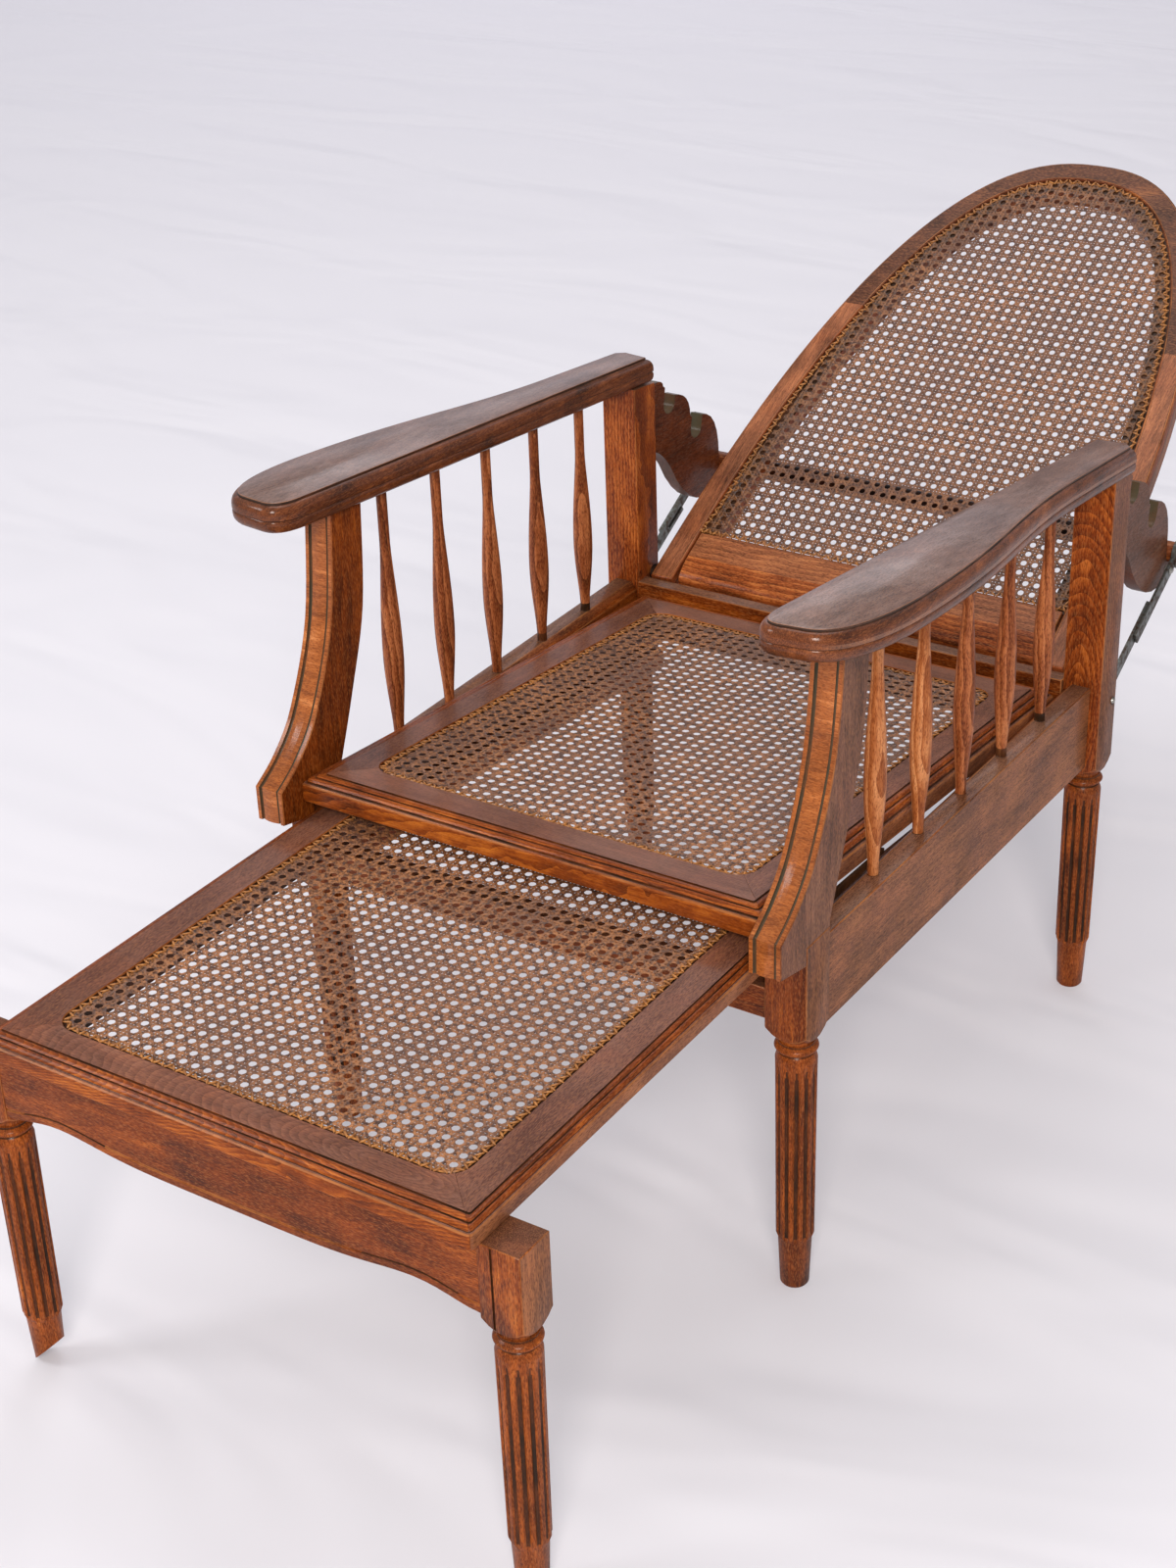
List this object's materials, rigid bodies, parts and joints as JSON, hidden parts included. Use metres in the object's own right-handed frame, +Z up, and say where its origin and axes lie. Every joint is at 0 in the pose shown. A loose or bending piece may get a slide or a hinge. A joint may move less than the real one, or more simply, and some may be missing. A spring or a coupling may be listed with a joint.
{
  "type": "reclining lounge chair",
  "caption": "Caned wooden lounge chair with a reclining arched back on a notched rack, flat arms on slim spindles, fluted legs and a slide-out caned footrest.",
  "frame": {"origin": "middle of the footprint on the floor, with the footrest pulled out and the back fully reclined", "axes": "+Z up, the sitter faces -Y, +X is the sitter's left, which is the right in the picture"},
  "size_m": [0.67, 1.7096, 0.7262],
  "materials": {
    "stained_wood": "red-brown stained beech with a worn wax polish",
    "aged_wood": "the same wood on top faces, greyed by wear, with a soft sheen",
    "cane": "aged golden-brown rattan cane, six-way pattern",
    "steel": "dark forged steel, slightly worn"
  },
  "bodies": {
    "frame": {"leg_front_left": "stained_wood", "leg_front_right": "stained_wood", "leg_rear_left": "stained_wood", "leg_rear_right": "stained_wood", "arm_left": "aged_wood", "arm_right": "aged_wood", "arm_bracket_left": "aged_wood", "arm_bracket_right": "aged_wood", "spindle_1_left": "stained_wood", "spindle_1_right": "stained_wood", "spindle_2_left": "stained_wood", "spindle_2_right": "stained_wood", "spindle_3_left": "stained_wood", "spindle_3_right": "stained_wood", "spindle_4_left": "stained_wood", "spindle_4_right": "stained_wood", "spindle_5_left": "stained_wood", "spindle_5_right": "stained_wood", "side_rail_left": "stained_wood", "side_rail_right": "stained_wood", "front_cross_rail": "stained_wood", "rear_cross_rail": "stained_wood", "seat_side_left": "aged_wood", "seat_side_right": "aged_wood", "seat_front": "aged_wood", "seat_rear": "aged_wood", "seat_cane": "cane", "rack_left": "aged_wood", "rack_right": "aged_wood", "footrest_runner_left": "stained_wood", "footrest_runner_right": "stained_wood", "stay_lower_left": "steel", "stay_lower_right": "steel", "stay_bolt_left": "steel", "stay_bolt_right": "steel"},
    "shoes": {"footrest_shoe_left": "stained_wood", "footrest_shoe_right": "stained_wood"},
    "footrest": {"footrest_side_left": "aged_wood", "footrest_side_right": "aged_wood", "footrest_front": "aged_wood", "footrest_rear": "aged_wood", "footrest_cane": "cane", "footrest_apron": "stained_wood", "footrest_leg_left": "stained_wood", "footrest_leg_right": "stained_wood"},
    "back": {"back_stile_left": "aged_wood", "back_stile_right": "aged_wood", "back_crown": "aged_wood", "back_bottom_rail": "stained_wood", "back_cane": "cane", "back_pivot_left": "steel", "back_pivot_right": "steel"},
    "support": {"support_bar": "stained_wood", "stay_upper_left": "steel", "stay_upper_right": "steel", "stay_rivet_left": "steel", "stay_rivet_right": "steel"}
  },
  "joints": [
    {"name": "footrest_slide", "type": "slide", "parent": "frame", "child": "shoes", "axis": [0, 0.9965, -0.0837], "range_m": [0, 0.397]},
    {"name": "footrest_tilt", "type": "hinge", "parent": "shoes", "child": "footrest", "pos_m": [0, -0.32578, 0.3589], "axis": [-1, 0, 0], "range_deg": [0, 4]},
    {"name": "back_recline", "type": "hinge", "parent": "frame", "child": "back", "pos_m": [0, 0.22952, 0.3751], "axis": [1, 0, 0], "range_deg": [0, 95]},
    {"name": "bar_pull", "type": "slide", "parent": "frame", "child": "support", "axis": [0, 0.8766, 0.4811], "range_m": [0, 0.026]}
  ],
  "couplings": [
    {"joint": "footrest_tilt", "follows": "footrest_slide", "rad_per_m": 0.168}
  ]
}
